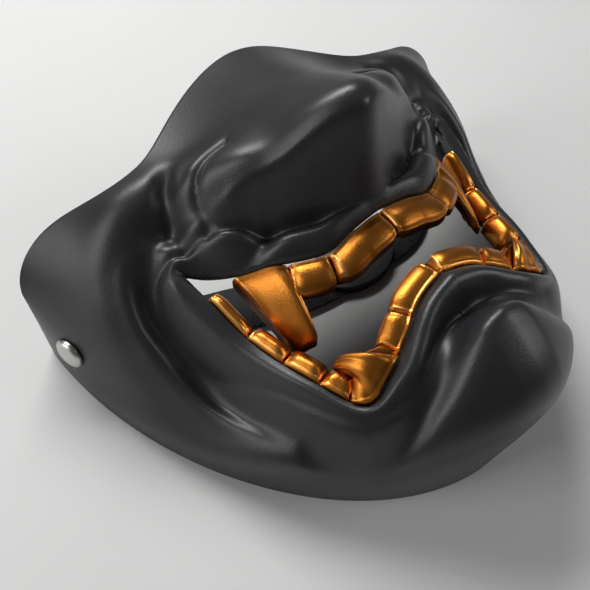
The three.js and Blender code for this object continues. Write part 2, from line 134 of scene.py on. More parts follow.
# %% The table of sections
SECTIONS = [
    # down, crown y, crown z, end y, end z, round y, round z
    (0.00, 1.00, 1.00, 1.01, 0.48, 2.00, 2.10),
    (0.16, 0.68, 1.00, 1.00, 0.40, 2.00, 1.90),
    (0.32, 0.33, 1.00, 1.00, 0.31, 2.00, 1.70),
    (0.46, -0.02, 0.99, 1.01, 0.23, 2.00, 1.55),
    (0.58, -0.30, 0.92, 1.02, 0.16, 1.90, 1.45),
    (0.72, -0.66, 0.86, 1.03, 0.08, 1.80, 1.40),
    (0.86, -0.99, 0.58, 1.03, 0.02, 1.80, 1.60),
    (1.00, -0.93, -0.05, 1.02, -0.05, 1.85, 2.00),
]
crown_y, crown_z, end_y, end_z, round_y, round_z = [curve(SECTIONS, k) for k in range(1, 7)]


def plain_face(across, down):
    """The face without its features, at a share across from -1 to 1 and a share down."""
    side = np.sin(np.abs(across) * math.pi / 2)
    crown = crown_y(down)
    middle = crown * np.where(crown > 0, BROW_REACH, CHIN_REACH)
    inside = np.clip(1 - side ** round_y(down), 0, 1)
    flat_y = inside ** (1 / round_y(down))
    flat_z = np.clip(1 - side ** round_z(down), 0, 1) ** (1 / round_z(down))
    notch = EYE_NOTCH * bell(side - NOTCH_AT, NOTCH_SPREAD) * smooth(NOTCH_DOWN, 0, down)
    x = np.sign(across) * side * HALF_WIDTH
    y = mix(end_y(down) * EAR_REACH, middle, flat_y) - notch
    z = mix(end_z(down), crown_z(down), flat_z) * FACE_DEPTH
    return x, y, z


print("sections:", len(SECTIONS))

# %% [markdown]
# ## The mouth
# The mouth is an opening that runs from corner to corner along two gum lines. Its outline is kept as
# points in plan, and the distance from it drives the rolled lips and the folds around them.

# %% The gum lines and the distance from the mouth
GUM_LINES = [
    # side, upper, lower
    (0.00, 0.00, 0.02),
    (0.20, -0.02, -0.03),
    (0.36, -0.04, -0.12),
    (0.54, 0.15, -0.20),
    (0.70, 0.42, -0.20),
    (0.82, 0.64, 0.10),
    (0.92, 0.84, 0.50),
    (1.00, 1.00, 1.00),
]
upper_share = curve(GUM_LINES, 1)
lower_share = curve(GUM_LINES, 2)
MOUTH_STEPS = 60


def upper_gum(x):
    return mix(UPPER_GUM_Y, MOUTH_CORNER_Y, upper_share(np.abs(x) / MOUTH_HALF_WIDTH))


def lower_gum(x):
    return mix(LOWER_GUM_Y, MOUTH_CORNER_Y, lower_share(np.abs(x) / MOUTH_HALF_WIDTH))


def mouth_outline():
    turn = np.arange(-MOUTH_STEPS, MOUTH_STEPS) / MOUTH_STEPS * math.pi / 2
    there = MOUTH_HALF_WIDTH * np.sin(turn)
    upper = np.column_stack([there, upper_gum(there)])
    lower = np.column_stack([-there, lower_gum(-there)])
    return np.vstack([upper, lower])


def nearest_on(x, y, line, closed=False):
    """Distance to a line in plan, and the nearest place on it."""
    best = np.full(np.shape(x), np.inf)
    near_x, near_y = np.zeros(np.shape(x)), np.zeros(np.shape(x))
    ends = np.roll(line, -1, axis=0) if closed else line[1:]
    for (ax, ay), (bx, by) in zip(line, ends):
        dx, dy = bx - ax, by - ay
        share = np.clip(((x - ax) * dx + (y - ay) * dy) / (dx * dx + dy * dy), 0, 1)
        away = np.hypot(x - ax - share * dx, y - ay - share * dy)
        closer = away < best
        best = np.where(closer, away, best)
        near_x = np.where(closer, ax + share * dx, near_x)
        near_y = np.where(closer, ay + share * dy, near_y)
    return best, near_x, near_y


MOUTH = mouth_outline()


def mouth_distance(x, y):
    """Distance from the mouth's outline in plan, negative inside it, and the nearest place on it."""
    away, near_x, near_y = nearest_on(x, y, MOUTH, closed=True)
    open_here = (np.abs(x) < MOUTH_HALF_WIDTH) & (y < upper_gum(x)) & (y > lower_gum(x))
    return np.where(open_here, -away, away), near_x, near_y


print("mouth outline points:", len(MOUTH))

# %% [markdown]
# ## The features
# On the real guard the nose is a broad swept block, its wings end in a deep curved crease, a thin roll
# lies under it like a moustache, and a sharp fold runs round the mouth from the wing to the chin. The
# large forms are bells and ramps. The creases are short lists of places in plan.

# %% Nose, lips, cheeks and chin
NOSE_RIDGE = [
    # along, rise, width
    (-0.06, 0.84, 1.25),
    (0.00, 0.96, 1.22),
    (0.08, 1.00, 1.18),
    (0.20, 0.90, 1.12),
    (0.50, 0.62, 0.98),
    (1.00, 0.32, 0.85),
    (1.30, 0.30, 0.85),
]
RIDGE_POWER = 1.9
UNDERSIDE = 0.3
FLARE_LIFT = 0.3
FLARE_LENGTH = 1.2
FLARE_RISE = 0.55
CREASE_AT = 1.3
CREASE_SPREAD = 0.28
CREASE_DEPTH = 0.34
ridge_rise = curve(NOSE_RIDGE, 1)
ridge_width = curve(NOSE_RIDGE, 2)


def nose_rise(x, y):
    away = np.abs(x)
    soft = np.hypot(away, NOSE_CREST) - NOSE_CREST
    swept = y - NOSE_TIP_Y - NOSE_SWEEP * soft
    along = swept / (BROW_REACH - NOSE_TIP_Y)
    round_share = away / (ridge_width(along) * NOSE_HALF_WIDTH)
    underside = smooth(-NOSE_RISE * UNDERSIDE, 0, swept)
    ridge = NOSE_RISE * ridge_rise(along) * np.exp(-(round_share ** RIDGE_POWER)) * underside
    flare_x = (away - NOSTRIL_X) / NOSTRIL_RADIUS
    nostril_y = NOSE_TIP_Y + NOSE_SWEEP * NOSTRIL_X + NOSTRIL_RADIUS * FLARE_LIFT
    flare_y = (y - nostril_y) / (NOSTRIL_RADIUS * FLARE_LENGTH)
    reach = np.hypot(flare_x, flare_y)
    flare = NOSTRIL_RADIUS * FLARE_RISE * np.exp(-(reach ** 3))
    outside = smooth(-0.5, 0.4, flare_x - flare_y * 0.5)
    crease = -NOSTRIL_RADIUS * CREASE_DEPTH * bell(reach - CREASE_AT, CREASE_SPREAD) * outside
    return ridge + flare + crease


PATCHES = [
    # name, height, share of the half width, share of the ear's reach, spread across, spread up
    ("cheek", CHEEK_RISE, 0.72, 0.68, 0.2, 0.3),
    ("jowl", -JOWL_HOLLOW, 0.74, -0.2, 0.2, 0.6),
]
ROLL_AT = 0.45
GROOVE_AT = 1.3
LIP_SPREAD = 0.42
FOLD_AT = 2.5
FOLD_SPREAD = 0.9
LOWER_GROOVE = 1.5
UPPER_GROOVE = 1.1
CHIN_ROUND = 1.5


def lips(x, y, gap):
    """The rolled lips, the groove round them and the soft fold outside it."""
    away = np.abs(x)
    above = smooth(UPPER_GUM_Y - LIP_REACH * 0.7, UPPER_GUM_Y + LIP_REACH * 1.5, y)
    wide = smooth(NOSTRIL_X * 0.5, NOSTRIL_X, away)
    roll = bell(gap - LIP_REACH * ROLL_AT, LIP_REACH * LIP_SPREAD)
    depth = mix(LOWER_GROOVE, UPPER_GROOVE * wide, above)
    groove = depth * bell(gap - LIP_REACH * GROOVE_AT, LIP_REACH * LIP_SPREAD)
    outer = smooth(0.3, 0.55, away / HALF_WIDTH)
    fold = bell(gap - LIP_REACH * FOLD_AT, LIP_REACH * FOLD_SPREAD) * outer
    return LIP_ROLL * (roll - groove + fold)


def chin_block(x, y):
    beyond = np.hypot(np.maximum(np.abs(x) - CHIN_FLAT, 0), CHIN_ROUND) - CHIN_ROUND
    side = np.clip(1 - beyond / (CHIN_FOOT - CHIN_FLAT), 0, 1)
    return CHIN_RISE * side * smooth(LOWER_GUM_Y - LIP_REACH * 0.9, LOWER_GUM_Y - LIP_REACH * 2.2, y)


def broad_features(x, y, gap):
    height = nose_rise(x, y) + lips(x, y, gap) + chin_block(x, y)
    for _, rise, at_x, at_y, spread_x, spread_y in PATCHES:
        off_x = (np.abs(x) / HALF_WIDTH - at_x) / spread_x
        off_y = (y / EAR_REACH - at_y) / spread_y
        height = height + rise * np.exp(-(off_x ** 2) - off_y ** 2)
    return height


print("broad forms: nose, lips, chin,", ", ".join(name for name, *_ in PATCHES))

# %% Creases and rolls, as lists of places in plan on one side of the face
CREASES = [
    # name, depth, half width, places
    ("nostril wing", 2.2, 1.7, [(25, 31), (31, 31), (36, 29), (39, 25), (39, 20), (36, 16), (30, 13)]),
    ("moustache", 1.6, 1.4, [(41, 18), (37, 15.5), (31, 11), (24, 6), (14, 0), (8, -2), (3, -3.2),
                             (0, -3.4)]),
    ("mouth fold", 2.8, 2.6, [(41, 19), (50, 22), (58, 22), (61, 15), (60, 8), (57, -3), (51, -16),
                              (45, -30), (40, -40), (33, -47), (23, -48), (14, -44), (6, -41),
                              (0, -41)]),
]
ROLLS = [
    # name, height, half width, places
    ("moustache", 1.0, 2.0, [(33, 17), (27, 14), (20, 9.5), (12, 4.5), (6, 1.5), (0, 0)]),
    ("fold outside", 1.9, 3.0, [(56, 29), (64, 27), (68, 17), (67, 5), (64, -8), (58, -21), (52, -35)]),
    ("lip ring", 1.6, 1.7, [(47, 18.5), (53, 18), (55, 12), (53, 3), (48, -11), (43, -26), (36, -36),
                            (29, -40)]),
]
CREASE_POWER = 1.4
DETAIL_FROM = 1.5
DETAIL_WHOLE = 5
LINE_STEPS = 10


def drawn_line(places):
    """A smooth line through chosen places."""
    rows = [(k, x, y) for k, (x, y) in enumerate(places)]
    at = np.linspace(0, len(places) - 1, (len(places) - 1) * LINE_STEPS + 1)
    return np.column_stack([curve(rows, 1)(at), curve(rows, 2)(at)])


def fine_features(x, y, gap):
    """The sharp creases and rolls that the broad forms leave out."""
    height = np.zeros(np.shape(x))
    for _, depth, spread, places in CREASES:
        away = nearest_on(np.abs(x), y, drawn_line(places))[0]
        height -= depth * np.exp(-np.abs(away / spread) ** CREASE_POWER)
    for _, rise, spread, places in ROLLS:
        height += rise * bell(nearest_on(np.abs(x), y, drawn_line(places))[0], spread)
    return height * smooth(DETAIL_FROM, DETAIL_WHOLE, gap)


print("creases:", ", ".join(name for name, *_ in CREASES))

# %% [markdown]
# ## The moulded shell
# The shell is a grid over the face with a second grid a wall's thickness behind it. The grid points
# nearest the mouth are drawn onto its outline, the cells inside it are dropped, and every open edge is
# closed by a strip of faces. A boolean cut would do it too, but it leaves long thin faces that spoil
# the gloss.

# %% Points of the fine face
HALF_COLUMNS = 118
ROWS = 212
EVEN_SHARE = 0.74
LIP_EDGE = 2.4
LIP_DROP = 0.8
LIP_SNAP = 0.35
RIM_ROUND = (0.8, 0.25)
RIM_STEPS = 4
UPRIGHT_WALL = 6
RIDGE_SPREADS = (2, 5)
BARE_ROWS = 6
INLAND_SIDES = (1.02, 0.86)
INLAND_FOOT = (1, 0.9)


def face_point(across, down, fine=True, rolls=True):
    x, y, z = plain_face(across, down)
    gap = mouth_distance(x, y)[0]
    rise = broad_features(x, y, gap)
    if fine:
        detail = fine_features(x, y, gap)
        rise = rise + (detail if rolls else np.minimum(detail, 0))
    inland = smooth(*INLAND_SIDES, np.abs(across)) * smooth(*INLAND_FOOT, down)
    return np.stack([x, y, z + rise * inland], axis=-1)


def falls_to_zero(low, high, value, rounds=26):
    """The place between low and high where a falling function reaches zero."""
    for _ in range(rounds):
        middle = (low + high) / 2
        above = value(middle) > 0
        low = np.where(above, middle, low)
        high = np.where(above, high, middle)
    return (low + high) / 2


def face_height(x, y):
    """Height of the broad face at places in plan."""
    across = np.arcsin(np.clip(x / HALF_WIDTH, -1, 1)) * 2 / math.pi
    down = falls_to_zero(np.zeros(x.shape), np.ones(x.shape),
                         lambda share: face_point(across, share, fine=False)[:, 1] - y)
    return face_point(across, down, fine=False)[:, 2]


def grid_normals(grid):
    """Outward directions of a grid of points."""
    across = np.gradient(grid, axis=1)
    down = np.gradient(grid, axis=0)
    normal = np.cross(down, across)
    normal[:, :RIM_STEPS] = normal[:, [RIM_STEPS]]
    normal[:, -RIM_STEPS:] = normal[:, [-RIM_STEPS - 1]]
    normal[:RIM_STEPS] = normal[RIM_STEPS]
    return normal / np.linalg.norm(normal, axis=-1, keepdims=True)


even = np.arange(-HALF_COLUMNS, HALF_COLUMNS + 1) / HALF_COLUMNS
columns = even * (EVEN_SHARE + (1 - EVEN_SHARE) * even * even)
floor_at = falls_to_zero(np.full(columns.shape, 0.6), np.full(columns.shape, 1.0),
                         lambda down: face_point(columns, down, fine=False)[:, 2])
downs = np.linspace(0, 1, ROWS + 1)[:, None] * floor_at[None, :]
acrosses = np.broadcast_to(columns[None, :], downs.shape)
front = face_point(acrosses, downs)
behind = face_point(acrosses, downs, rolls=False)
low_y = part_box("face_shell")[0][1] * 1000
SHIFT = np.array([0, low_y - front[..., 1].min(), 0])
print("fine grid:", front.shape[:2], "shift in y, mm:", round(float(SHIFT[1]), 2))

# %% Mesh helpers
SHARP_ANGLE = 40
SHELL_SHARP = 65
RIVET_SHARP = 35


def to_mesh(name, points, faces, sharp=SHARP_ANGLE):
    """A piece from points in millimetres and a list of faces, shaded smooth but for sharp edges."""
    mesh = bpy.data.meshes.new(name)
    mesh.from_pydata((np.asarray(points) + SHIFT) * MM, [], np.asarray(faces).tolist())
    mesh.update()
    mesh.shade_smooth()
    mesh.set_sharp_from_angle(angle=math.radians(sharp))
    piece = bpy.data.objects.new(name, mesh)
    bpy.context.scene.collection.objects.link(piece)
    return piece


def mark(piece, name, values):
    """A value at each point that materials can read."""
    layer = piece.data.attributes.new(name, "FLOAT", "POINT")
    layer.data.foreach_set("value", np.asarray(values, dtype=np.float32).ravel())


def grid_triangles(rows, columns_):
    r, c = np.meshgrid(np.arange(rows - 1), np.arange(columns_ - 1), indexing="ij")
    a = (r * columns_ + c).ravel()
    b, d, e = a + columns_, a + columns_ + 1, a + 1
    return np.vstack([np.column_stack([a, b, d]), np.column_stack([a, d, e])])


def closed_wall(faces, count):
    """Front faces, the same faces turned round behind them, and strips along every open edge."""
    edges = np.vstack([faces[:, [0, 1]], faces[:, [1, 2]], faces[:, [2, 0]]])
    key = edges[:, 0] * count + edges[:, 1]
    back_key = edges[:, 1] * count + edges[:, 0]
    a, b = edges[~np.isin(key, back_key)].T
    strips = np.vstack([np.column_stack([b, a, a + count]), np.column_stack([b, a + count, b + count])])
    return np.vstack([faces, faces[:, ::-1] + count, strips])


def without_spares(points, faces):
    """Drops the points that no face uses."""
    used = np.unique(faces)
    place = np.zeros(len(points), dtype=int)
    place[used] = np.arange(len(used))
    return points[used], place[faces], used


# %% Build the shell
normals = grid_normals(front)
gap, near_x, near_y = mouth_distance(front[..., 0], front[..., 1])
inside = gap < LIP_SNAP
triangles = grid_triangles(*inside.shape)
kept = triangles[~inside.ravel()[triangles].all(axis=1)]
borders = np.zeros(inside.size, dtype=bool)
borders[np.unique(kept)] = True
snapped = borders.reshape(inside.shape) & inside
edge = np.column_stack([near_x[snapped], near_y[snapped]])
edge = np.column_stack([edge, face_height(edge[:, 0], edge[:, 1])])
front[snapped] = edge
behind[snapped] = edge
edge_gap = np.where(snapped, 0, np.clip(gap, 0, LIP_EDGE))
front[..., 2] -= LIP_DROP * (1 - edge_gap / LIP_EDGE) ** 2

upright = smooth(UPRIGHT_WALL, 0, np.maximum(gap, 0))[..., None]
inward = mix(grid_normals(behind), np.array([0, 0, 1.0]), upright)
inward /= np.linalg.norm(inward, axis=-1, keepdims=True)
back = behind - inward * WALL
for k, round_off in enumerate(RIM_ROUND):
    front[k] -= normals[k] * round_off
    back[k] += normals[k] * round_off
    for c in (k, -1 - k):
        front[:, c] -= normals[:, c] * round_off
        back[:, c] += normals[:, c] * round_off
front[..., 2] = np.maximum(front[..., 2], 0)
back[..., 2] = np.maximum(back[..., 2], 0)

shell_faces = closed_wall(kept, inside.size)
shell_points = np.vstack([front.reshape(-1, 3), back.reshape(-1, 3)])
shell_points, shell_faces, used = without_spares(shell_points, shell_faces)
shell = to_mesh("guard_shell", shell_points, shell_faces, sharp=SHELL_SHARP)

# How far each point stands out from its neighbours; the black is lightened on convex ridges by it,
# partly as wear and partly as painted highlight.
bulge_out = np.zeros(inside.shape)
for spread in RIDGE_SPREADS:
    around = (np.roll(front, spread, 0) + np.roll(front, -spread, 0)
              + np.roll(front, spread, 1) + np.roll(front, -spread, 1)) / 4
    bulge_out += ((front - around) * normals).sum(axis=-1)
bulge_out[:BARE_ROWS] = 0
bulge_out[-BARE_ROWS:] = 0
both_walls = np.concatenate([bulge_out.ravel(), np.zeros(inside.size)])
mark(shell, "ridge", np.clip(both_walls[used], -1, 1))
print("shell triangles:", len(shell_faces))

# %% [markdown]
# ## The teeth
# Each row of teeth is one moulded strip, painted before it is set behind the lip. A table gives each
# tooth its stretch of the gum line, its length, how much it swells and whether it draws to a point.
# Deep grooves part the teeth, a thin raised line runs round each, and the lower fangs carry flutes.

# %% The tables of teeth
TOOTH_WALL = 3
UPPER_RECESS = 3
LOWER_RECESS = 1.2
TOOTH_LENGTH = 9
TOOTH_BULGE = 2
CLEARANCE = 0.3
UPPER_TEETH = [
    # start, end, reach, bulge, point, fall, lean
    (0.00, 0.42, 1.00, 1.0, 0.0, 0.1, 0),
    (0.42, 0.66, 0.90, 0.8, 0.0, 0.3, 0.3),
    (0.66, 1.00, 2.40, 1.8, 0.45, 0.5, 1),
]
LOWER_TEETH = [
    # start, end, reach, bulge, point, fall, lean
    (0.00, 0.16, 0.80, 0.8, 0.0, 0.0, 0),
    (0.16, 0.26, 0.80, 0.8, 0.0, 0.0, 0),
    (0.26, 0.47, 1.60, 2.4, 0.7, 0.1, 0),
    (0.47, 0.57, 0.90, 1.6, 0.1, 0.1, 0),
    (0.57, 0.70, 0.75, 1.6, 0.0, 0.1, 0),
    (0.70, 0.84, 0.65, 1.6, 0.0, 0.1, 0),
    (0.84, 1.00, 0.45, 1.4, 0.0, 0.1, 0),
]
UPPER_END = 0.80
LOWER_END = 0.97
TOOTH_ROWS = 30
UPPER_STEPS = 170
LOWER_STEPS = 260
BEAD = 0.45
GROOVE = 0.7
FLUTE = 0.22
OUTLINE = 0.3
OUTLINE_AT = 0.88
OUTLINE_SPREAD = 0.045
BEAD_AT = 0.6
TIP_DROP = 0.7
CORNER_POWER = 6
CORNER_LOSS = 0.25
print("teeth a side: upper", len(UPPER_TEETH), "lower", len(LOWER_TEETH))

# %% Shape the teeth and lay both rows


def tooth_shape(tooth, u, out):
    """Height over the seat and painted shade, negative where highlight is painted, across a tooth from
    -1 to 1 and out along it.
    """
    reach, bulge, point, fall = tooth
    swell = TOOTH_BULGE * bulge * (1 - u ** 4) * np.sin(math.pi * np.clip(out * 0.85 + 0.1, 0, 1))
    groove = GROOVE * smooth(0.92, 1, u)
    outline = bell(u - OUTLINE_AT, OUTLINE_SPREAD)
    bead = bell(out * reach - BEAD_AT, 0.45)
    flutes = FLUTE * math.cos(u * 3.3 * math.pi) * smooth(1, 0.3, out) * (point > 0.5)
    height = swell - groove + OUTLINE * outline * smooth(0.02, 0.1, out) + BEAD * bead + flutes
    height = height - TIP_DROP * smooth(0.88, 1, out) - fall * reach * out
    # Painted shade: darker in the grooves, at the roots under the lip and towards the tips.
    dark = np.maximum(smooth(0.91, 1, u), smooth(0.2, 0.06, out) * 0.6)
    # Painted highlight: lighter on the raised outline and bead.
    painted_highlight = np.maximum(outline, bell(out * reach - BEAD_AT, 0.5))
    return height, np.clip(dark + 0.4 * smooth(0.55, 1, out) - painted_highlight, -1, 1)


def gum_points(gum, end, steps):
    """Half a gum line as even steps, from the middle of the face outwards."""
    x = MOUTH_HALF_WIDTH * end * np.sin(np.linspace(0, 1, steps * 8 + 1) * math.pi / 2)
    y = gum(x)
    length = np.concatenate([[0], np.cumsum(np.hypot(np.diff(x), np.diff(y)))])
    at = np.linspace(0, length[-1], steps + 1)
    return np.column_stack([np.interp(at, length, x), np.interp(at, length, y)])


def half_row(teeth, gum, end, steps, recess, inward):
    """Points and painted shade and highlight of half a row of teeth, from the middle of the face
    outwards.
    """
    line = gum_points(gum, end, steps)
    along = np.gradient(line, axis=0)
    along /= np.linalg.norm(along, axis=1, keepdims=True)
    square = np.column_stack([-along[:, 1], along[:, 0]]) * inward
    square[0] = (0, inward)
    seat = face_height(line[:, 0], line[:, 1]) - recess
    out = np.linspace(0, 1, TOOTH_ROWS + 1)
    half = np.zeros((TOOTH_ROWS + 1, steps + 1, 3))
    painted_shade_and_highlight = np.zeros((TOOTH_ROWS + 1, steps + 1))
    for k in range(steps + 1):
        tooth = next((t for t in teeth if k / steps <= t[1]), teeth[-1])
        start, stop, reach, bulge, point, fall, lean = tooth
        into = mix(square, np.array([0, inward]), lean)
        into /= np.linalg.norm(into, axis=1, keepdims=True)
        u = abs((k / steps - start) / (stop - start) * 2 - 1)
        reach = TOOTH_LENGTH * reach * (1 - u ** CORNER_POWER * CORNER_LOSS)
        root = line[k] + into[k] * CLEARANCE
        middle = round((start + stop) / 2 * steps)
        tip = line[middle] + into[middle] * reach
        goal = mix(root + into[k] * reach, tip, point)
        height, painted_shade_and_highlight[:, k] = tooth_shape((reach, bulge, point, fall), u, out)
        half[:, k, :2] = mix(root, goal, out[:, None])
        half[:, k, 2] = seat[k] + height
    return half, painted_shade_and_highlight


def tooth_row(name, *row):
    half, painted_shade_and_highlight = half_row(*row)
    grid = np.concatenate([half[:, :0:-1] * (-1, 1, 1), half], axis=1)
    shade = np.concatenate([painted_shade_and_highlight[:, :0:-1], painted_shade_and_highlight], axis=1)
    if row[-1] > 0:
        grid, shade = grid[::-1], shade[::-1]
    faces = closed_wall(grid_triangles(*grid.shape[:2]), grid[..., 0].size)
    under = grid - (0, 0, TOOTH_WALL)
    piece = to_mesh(name, np.vstack([grid.reshape(-1, 3), under.reshape(-1, 3)]), faces)
    # The backs and sides of the strip get full painted shade.
    mark(piece, "painted_shade_and_highlight", np.concatenate([shade.ravel(), np.ones(shade.size)]))
    print(name, "triangles:", len(faces))
    return piece


upper_row = tooth_row("upper_tooth_row", UPPER_TEETH, upper_gum, UPPER_END, UPPER_STEPS,
                      UPPER_RECESS, -1)
lower_row = tooth_row("lower_tooth_row", LOWER_TEETH, lower_gum, LOWER_END, LOWER_STEPS,
                      LOWER_RECESS, 1)

# %% [markdown]
# ## The rivets
# Two domed nickel rivets, one on each side wall, hold the strap's ends. Their seats are found where
# the wall passes the rivet's height. A round piece is best made by turning a profile on its axis.

# %% Find the seats and turn the rivets
RIVET_Y = 36
RIVET_Z = 19
RIVET_HEAD_RADIUS = 5.2
RIVET_HEAD_HEIGHT = 2.2
RIVET_SHANK_RADIUS = 2
RIVET_CAP = 1
RIVET_RIM = 0.5
STRAP_STANDOFF = 1.6
STRAP_THICKNESS = 1.4
SIDES = (-1, 1)
SEAT_ROUNDS = 18
SEAT_STEP = 0.004
CAP_SHARE = 0.8
CAP_EDGE = 0.3
DOME_STEPS = 12
DOME_POWER = 0.7


def one(across, down):
    return face_point(np.array([across]), np.array([down]), fine=False)[0]


def widest(down):
    return float(falls_to_zero(0.6, 1.0, lambda across: one(float(across), down)[2] - RIVET_Z))


def rivet_seat(side):
    def beyond(share):
        return one(widest(float(share)), float(share))[1] - RIVET_Y

    down = float(falls_to_zero(0.1, 0.9, beyond, SEAT_ROUNDS))
    across = side * widest(down)
    sideways = one(across + SEAT_STEP, down) - one(across - SEAT_STEP, down)
    downward = one(across, down + SEAT_STEP) - one(across, down - SEAT_STEP)
    outward = np.cross(downward, sideways)
    return one(across, down), outward / np.linalg.norm(outward)


def turned(name, profile, point, outward, sides=64):
    turn = np.arange(sides) / sides * 2 * math.pi
    spin = np.array(Vector((0, 0, 1)).rotation_difference(Vector(outward)).to_matrix())
    points = [point + spin @ (0, 0, profile[0][1])]
    for radius, height in profile[1:-1]:
        points += [point + spin @ (radius * math.cos(t), radius * math.sin(t), height) for t in turn]
    points.append(point + spin @ (0, 0, profile[-1][1]))
    rings = len(profile) - 2
    last = rings * sides + 1
    faces = [(0, 1 + (k + 1) % sides, 1 + k) for k in range(sides)]
    for ring in range(rings - 1):
        low, high = 1 + ring * sides, 1 + (ring + 1) * sides
        steps = [(k, (k + 1) % sides) for k in range(sides)]
        faces += [(low + k, low + after, high + after, high + k) for k, after in steps]
    top = 1 + (rings - 1) * sides
    faces += [(top + k, top + (k + 1) % sides, last) for k in range(sides)]
    mesh = bpy.data.meshes.new(name)
    mesh.from_pydata((np.array(points) + SHIFT) * MM, [], faces)
    mesh.shade_smooth()
    mesh.set_sharp_from_angle(angle=math.radians(RIVET_SHARP))
    piece = bpy.data.objects.new(name, mesh)
    bpy.context.scene.collection.objects.link(piece)
    return piece


def rivet_profile():
    inner = -(WALL + STRAP_STANDOFF + STRAP_THICKNESS + CLEARANCE)
    end = inner - RIVET_CAP
    cap = RIVET_HEAD_RADIUS * CAP_SHARE
    profile = [(0, end), (cap - CAP_EDGE, end), (cap, end + CAP_EDGE), (cap, inner)]
    profile += [(RIVET_SHANK_RADIUS, at) for at in (inner, CLEARANCE)]
    profile.append((RIVET_HEAD_RADIUS, CLEARANCE))
    for k in range(DOME_STEPS):
        t = k / DOME_STEPS * math.pi / 2
        height = CLEARANCE + mix(RIVET_RIM, RIVET_HEAD_HEIGHT, math.sin(t))
        profile.append((RIVET_HEAD_RADIUS * math.cos(t) ** DOME_POWER, height))
    return profile + [(0, CLEARANCE + RIVET_HEAD_HEIGHT)]


SEATS = [rivet_seat(side) for side in SIDES]
RIVET_NAMES = ("right_rivet", "left_rivet")
rivets = [turned(name, rivet_profile(), *seat) for name, seat in zip(RIVET_NAMES, SEATS)]
print("rivet seats, mm:", [np.round(seat[0], 1).tolist() for seat in SEATS])

# %% [markdown]
# ## The strap
# The strap is a woven elastic band that runs from rivet to rivet across the hollow. The band is a thin
# closed strip along its middle line. The weave's cross threads stand proud of it, so Geometry Nodes
# lay one small rounded rib at each step of the line, on both faces.

# %% The strap's middle line and its band
STRAP_WIDTH = 18
STRAP_TOP = 5.5
STRAP_TAB = 7
STRAP_SAG = 19
SLIDER_BASE = 0.9
STRAP_LIE = SLIDER_BASE + CLEARANCE + STRAP_THICKNESS / 2
STRAP_LAY = [
    # share of the way across, share of the sag
    (0.07, 0.02),
    (0.16, 0.12),
    (0.28, 0.42),
    (0.40, 0.80),
    (0.51, 1.00),
    (0.64, 1.00),
    (0.77, 1.00),
    (0.86, 0.66),
    (0.94, 0.15),
]
STRAP_STEPS = 260
RIB_PITCH = 0.95
RIB_RADIUS = 0.42
RIB_ROOM = 0.15
RIB_SINK = 0.75
RIB_SIDES = 8
PATH_POINTS = 2400
FREE_FROM = 0.11
WALL_UNTIL = 0.05


def strap_points():
    inset = WALL + STRAP_STANDOFF + STRAP_THICKNESS / 2
    ends = []
    for side, (point, outward) in zip(SIDES, SEATS):
        slope_down = np.array([0, 0, -1.0]) + outward * outward[2]
        slope_down /= np.linalg.norm(slope_down)
        tab = [point - outward * inset + slope_down * run for run in (-STRAP_TOP, 0, STRAP_TAB)]
        bend = np.array([tab[2][0] - side * STRAP_TAB, tab[2][1], STRAP_LIE + STRAP_TAB * 0.5])
        ends.append(tab + [bend])
    right, left = ends
    across = [(mix(right[3], left[3], share), sag) for share, sag in STRAP_LAY]
    flat = [np.array([at[0], at[1] - STRAP_SAG * sag, STRAP_LIE]) for at, sag in across]
    return np.array(right + flat + left[::-1])


def strap_frames(steps):
    """Even places along the strap with the way along it, its face's way and the way across it."""
    points = strap_points()
    knots = np.concatenate([[0], np.cumsum(np.sqrt(np.linalg.norm(np.diff(points, axis=0), axis=1)))])
    rows = np.column_stack([knots, points])
    fine = np.linspace(0, knots[-1], PATH_POINTS)
    path = np.column_stack([curve(rows, k)(fine) for k in (1, 2, 3)])
    path[:, 2] = np.maximum(path[:, 2], STRAP_LIE)
    length = np.concatenate([[0], np.cumsum(np.linalg.norm(np.diff(path, axis=0), axis=1))])
    share = np.linspace(0, 1, steps + 1)
    at = np.column_stack([np.interp(share * length[-1], length, path[:, k]) for k in range(3)])
    along = np.gradient(at, axis=0)
    along /= np.linalg.norm(along, axis=1, keepdims=True)
    wall = np.where(share[:, None] < 0.5, -SEATS[0][1], -SEATS[1][1])
    against = smooth(FREE_FROM, WALL_UNTIL, np.minimum(share, 1 - share))[:, None]
    facing = mix(np.array([0, 0, 1.0]), wall, against)
    facing -= along * (facing * along).sum(axis=1, keepdims=True)
    facing /= np.linalg.norm(facing, axis=1, keepdims=True)
    return at, along, facing, np.cross(facing, along), length[-1]


def strap_band():
    at, _, facing, aside, length = strap_frames(STRAP_STEPS)
    grid = np.stack([at + aside * (edge * STRAP_WIDTH / 2) for edge in (1, -1)])
    upper = grid + facing * (STRAP_THICKNESS / 2 - RIB_ROOM)
    lower = grid - facing * (STRAP_THICKNESS / 2 - RIB_ROOM)
    faces = closed_wall(grid_triangles(*grid.shape[:2]), grid[..., 0].size)
    print("strap length, mm:", round(float(length), 1))
    return to_mesh("strap_band", np.vstack([upper.reshape(-1, 3), lower.reshape(-1, 3)]), faces), length


band, strap_length = strap_band()

# %% The Geometry Nodes tree that lays the ribs


